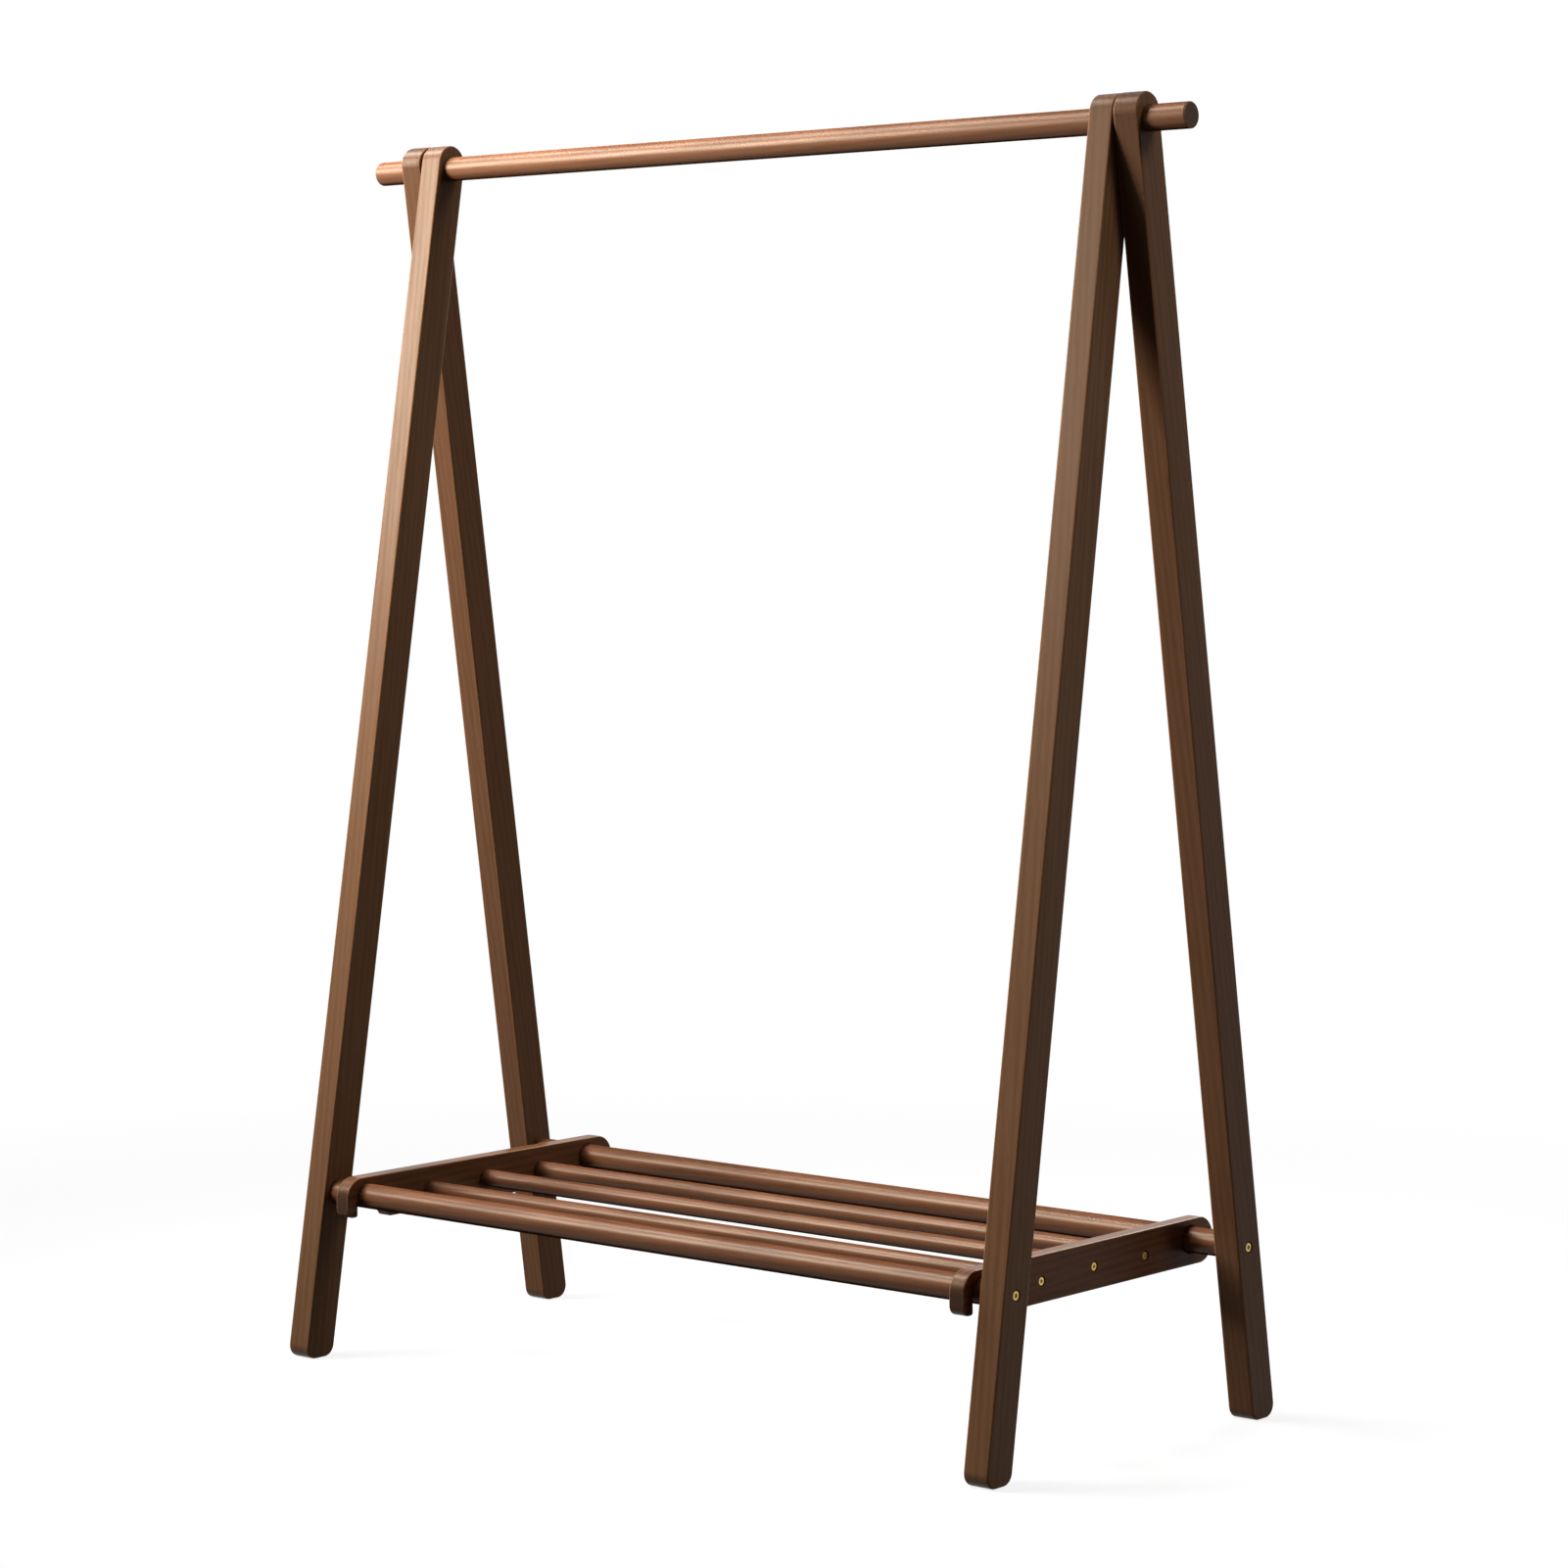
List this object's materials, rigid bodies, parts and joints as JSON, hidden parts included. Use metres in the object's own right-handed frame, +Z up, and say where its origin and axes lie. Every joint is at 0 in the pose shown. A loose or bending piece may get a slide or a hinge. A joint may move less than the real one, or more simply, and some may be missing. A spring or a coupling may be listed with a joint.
{
  "type": "folding clothes rack",
  "caption": "Folding wooden clothes rack: A-frame legs turn on a round hanging rod, and a slatted shelf hooks over a crossbar to hold them open.",
  "frame": {"origin": "on the floor, at the middle of the four feet, under the middle of the rod", "axes": "+X along the rod to the right, -Y towards the front, +Z up"},
  "size_m": [1.25, 0.5008, 1.4999],
  "materials": {
    "front_leg_wood": "satin dark walnut stain",
    "rear_leg_wood": "satin dark walnut stain",
    "round_wood": "satin dark walnut stain",
    "side_wood": "satin dark walnut stain",
    "brass_screws": "satin brass plating",
    "steel_hardware": "plain zinc-plated steel",
    "dark_washers": "black nylon"
  },
  "bodies": {
    "rear_frame": {"rear_leg_left": "rear_leg_wood", "rear_leg_right": "rear_leg_wood", "rear_bar": "round_wood", "rear_bar_inserts": "steel_hardware", "rear_bar_bolts": "brass_screws", "hanging_rod": "round_wood", "rod_lock_screws": "steel_hardware", "pivot_washers": "dark_washers"},
    "front_frame": {"front_leg_left": "front_leg_wood", "front_leg_right": "front_leg_wood", "front_bar": "round_wood", "front_bar_inserts": "steel_hardware", "front_bar_bolts": "brass_screws"},
    "shelf": {"shelf_side_left": "side_wood", "shelf_side_right": "side_wood", "slat_front": "round_wood", "slat_middle": "round_wood", "slat_rear": "round_wood", "slat_screws_left": "brass_screws", "slat_screws_right": "brass_screws"}
  },
  "joints": [
    {"name": "leg_fold", "type": "hinge", "parent": "rear_frame", "child": "front_frame", "pos_m": [0, 0, 1.47], "axis": [1, 0, 0], "range_deg": [0, 15.6]},
    {"name": "shelf_fold", "type": "hinge", "parent": "rear_frame", "child": "shelf", "pos_m": [0, 0.19888, 0.2], "axis": [-1, 0, 0], "range_deg": [0, 78]}
  ],
  "couplings": [
    {"joint": "shelf_fold", "follows": "leg_fold", "ratio": 5}
  ]
}
